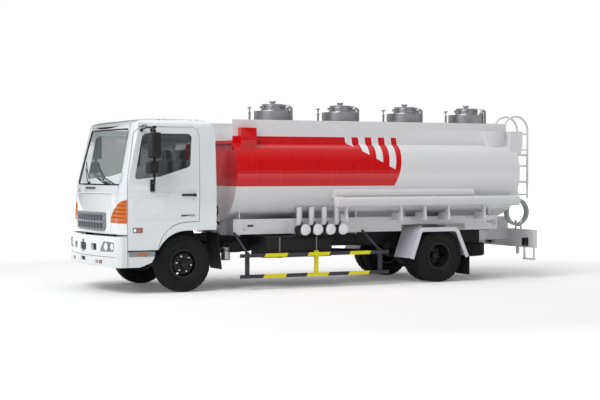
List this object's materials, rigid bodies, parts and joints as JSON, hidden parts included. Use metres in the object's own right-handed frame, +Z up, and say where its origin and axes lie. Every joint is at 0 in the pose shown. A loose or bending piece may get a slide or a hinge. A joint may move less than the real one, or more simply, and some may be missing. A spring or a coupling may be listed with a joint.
{
  "type": "tanker truck",
  "caption": "Forward-control tanker truck: tilting cab with doors and front lid, long oval tank with manhole lids, ladder, side guards and twin rear wheels.",
  "frame": {"origin": "on the ground under the middle of the truck", "axes": "+X forward, +Y to the left, +Z up"},
  "size_m": [7.7594, 2.94, 2.9629],
  "materials": {
    "cab_paint": "gloss white",
    "tank_paint": "gloss light grey with a red panel",
    "chassis_paint": "satin black",
    "light_grey_paint": "satin light grey",
    "guard_paint": "satin dark grey with yellow bands",
    "stainless": "brushed",
    "tyre": "matt",
    "wheel_paint": "satin black",
    "cast": "rough",
    "glass": "clear tinted",
    "black_plastic": "grained",
    "grille_plastic": "satin",
    "amber_lens": "clear amber",
    "lamp_lens": "clear",
    "cloth": "woven",
    "rubber": "matt",
    "hose": "clear ribbed"
  },
  "bodies": {
    "chassis": {"air_tanks": "chassis_paint", "battery_box": "chassis_paint", "cab_hinge": "chassis_paint", "cab_steps": "cab_paint", "engine": "cast", "front_axle": "chassis_paint", "front_bumper": "cab_paint", "front_mudguards": "black_plastic", "fuel_tank": "chassis_paint", "headlamps": "lamp_lens", "hose_coil": "hose", "hose_tubes": "tank_paint", "ladder": "light_grey_paint", "ladder_frame": "chassis_paint", "leaf_springs": "chassis_paint", "manhole_collars": "stainless", "mud_flaps": "rubber", "outlets": "light_grey_paint", "propeller_shaft": "chassis_paint", "rear_axle": "chassis_paint", "rear_beam": "light_grey_paint", "rear_fenders": "light_grey_paint", "rear_lamps": "chassis_paint", "side_guards": "guard_paint", "silencer": "chassis_paint", "spare_wheel": "wheel_paint", "tank_shell": "tank_paint", "tank_subframe": "light_grey_paint", "top_coaming": "tank_paint", "vent_pipes": "stainless"},
    "cab": {"cab_shell": "cab_paint", "cab_glass": "glass", "corner_lamps": "amber_lens", "wipers": "black_plastic", "dashboard": "black_plastic", "seats": "cloth", "steering_wheel": "black_plastic"},
    "front_lid": {"front_lid": "cab_paint", "grille": "grille_plastic"},
    "door_left": {"door_left": "cab_paint", "door_glass_left": "glass", "mirror_left": "black_plastic"},
    "door_right": {"door_right": "cab_paint", "door_glass_right": "glass", "mirror_right": "black_plastic"},
    "knuckle_left": {"knuckle_left": "chassis_paint"},
    "knuckle_right": {"knuckle_right": "chassis_paint"},
    "front_wheel_left": {"front_wheel_left": "wheel_paint", "front_tyre_left": "tyre"},
    "front_wheel_right": {"front_wheel_right": "wheel_paint", "front_tyre_right": "tyre"},
    "rear_wheels_left": {"rear_wheels_left": "wheel_paint", "rear_tyres_left": "tyre"},
    "rear_wheels_right": {"rear_wheels_right": "wheel_paint", "rear_tyres_right": "tyre"},
    "manhole_lid_1": {"manhole_lid_1": "stainless"},
    "manhole_lid_2": {"manhole_lid_2": "stainless"},
    "manhole_lid_3": {"manhole_lid_3": "stainless"},
    "manhole_lid_4": {"manhole_lid_4": "stainless"}
  },
  "joints": [
    {"name": "cab_tilt", "type": "hinge", "parent": "chassis", "child": "cab", "pos_m": [3.67, 0, 0.905], "axis": [0, 1, 0], "range_deg": [0, 45]},
    {"name": "front_lid_hinge", "type": "hinge", "parent": "cab", "child": "front_lid", "pos_m": [3.776, 0, 1.484], "axis": [0, -1, 0], "range_deg": [0, 60]},
    {"name": "door_left_hinge", "type": "hinge", "parent": "cab", "child": "door_left", "pos_m": [3.555, 1.152, 1.2], "axis": [0, 0, -1], "range_deg": [0, 70]},
    {"name": "steer_left", "type": "hinge", "parent": "chassis", "child": "knuckle_left", "pos_m": [2.62, 0.8, 0.43], "axis": [0, 0, 1], "range_deg": [-35, 35]},
    {"name": "roll_front_left", "type": "hinge", "parent": "knuckle_left", "child": "front_wheel_left", "pos_m": [2.62, 0.916, 0.43], "axis": [0, 1, 0], "continuous": true},
    {"name": "roll_rear_left", "type": "hinge", "parent": "chassis", "child": "rear_wheels_left", "pos_m": [-1.86, 0.848, 0.43], "axis": [0, 1, 0], "continuous": true},
    {"name": "door_right_hinge", "type": "hinge", "parent": "cab", "child": "door_right", "pos_m": [3.555, -1.152, 1.2], "axis": [0, 0, 1], "range_deg": [0, 70]},
    {"name": "steer_right", "type": "hinge", "parent": "chassis", "child": "knuckle_right", "pos_m": [2.62, -0.8, 0.43], "axis": [0, 0, 1], "range_deg": [-35, 35]},
    {"name": "roll_front_right", "type": "hinge", "parent": "knuckle_right", "child": "front_wheel_right", "pos_m": [2.62, -0.916, 0.43], "axis": [0, 1, 0], "continuous": true},
    {"name": "roll_rear_right", "type": "hinge", "parent": "chassis", "child": "rear_wheels_right", "pos_m": [-1.86, -0.848, 0.43], "axis": [0, 1, 0], "continuous": true},
    {"name": "manhole_lid_1_hinge", "type": "hinge", "parent": "chassis", "child": "manhole_lid_1", "pos_m": [0.445, 0, 2.897], "axis": [0, -1, 0], "range_deg": [0, 100]},
    {"name": "manhole_lid_2_hinge", "type": "hinge", "parent": "chassis", "child": "manhole_lid_2", "pos_m": [-0.8, 0, 2.897], "axis": [0, -1, 0], "range_deg": [0, 100]},
    {"name": "manhole_lid_3_hinge", "type": "hinge", "parent": "chassis", "child": "manhole_lid_3", "pos_m": [-2.045, 0, 2.897], "axis": [0, -1, 0], "range_deg": [0, 100]},
    {"name": "manhole_lid_4_hinge", "type": "hinge", "parent": "chassis", "child": "manhole_lid_4", "pos_m": [-3.29, 0, 2.897], "axis": [0, -1, 0], "range_deg": [0, 100]}
  ],
  "couplings": [
    {"joint": "steer_right", "follows": "steer_left", "ratio": 1}
  ]
}
